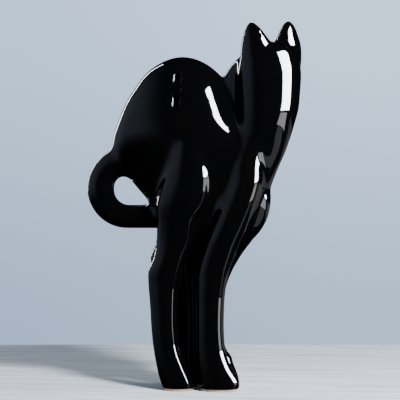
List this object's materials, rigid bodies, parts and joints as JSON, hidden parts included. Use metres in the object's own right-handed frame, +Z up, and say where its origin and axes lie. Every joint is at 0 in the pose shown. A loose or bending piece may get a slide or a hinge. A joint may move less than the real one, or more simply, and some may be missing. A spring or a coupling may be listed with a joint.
{
  "type": "ceramic cat money box",
  "caption": "Tall stylised standing cat in black glazed ceramic, hollow, with a coin slot in its flank, a closed tail loop, a turned head and a soft stopper in an emptying hole.",
  "frame": {"origin": "on the floor, under the middle of the cat's bounding box", "axes": "+X where the body points, +Y the cat's left side, +Z up"},
  "size_m": [0.2238, 0.0952, 0.38],
  "materials": {
    "black_glaze": "gloss",
    "bisque": "matte",
    "stopper_rubber": "matte"
  },
  "bodies": {
    "ceramic_body": {"torso_shell": "black_glaze", "neck": "black_glaze", "head": "black_glaze", "right_ear": "black_glaze", "left_ear": "black_glaze", "tail_loop": "black_glaze", "right_hind_leg": "black_glaze", "left_hind_leg": "black_glaze", "right_fore_leg": "black_glaze", "left_fore_leg": "black_glaze", "leg_web": "black_glaze", "right_hind_sole": "bisque", "left_hind_sole": "bisque", "right_fore_sole": "bisque", "left_fore_sole": "bisque"},
    "stopper": {"stopper": "stopper_rubber"}
  },
  "joints": [
    {"name": "stopper_pull", "type": "slide", "parent": "ceramic_body", "child": "stopper", "axis": [0, 1, 0], "range_m": [0, 0.045]}
  ]
}
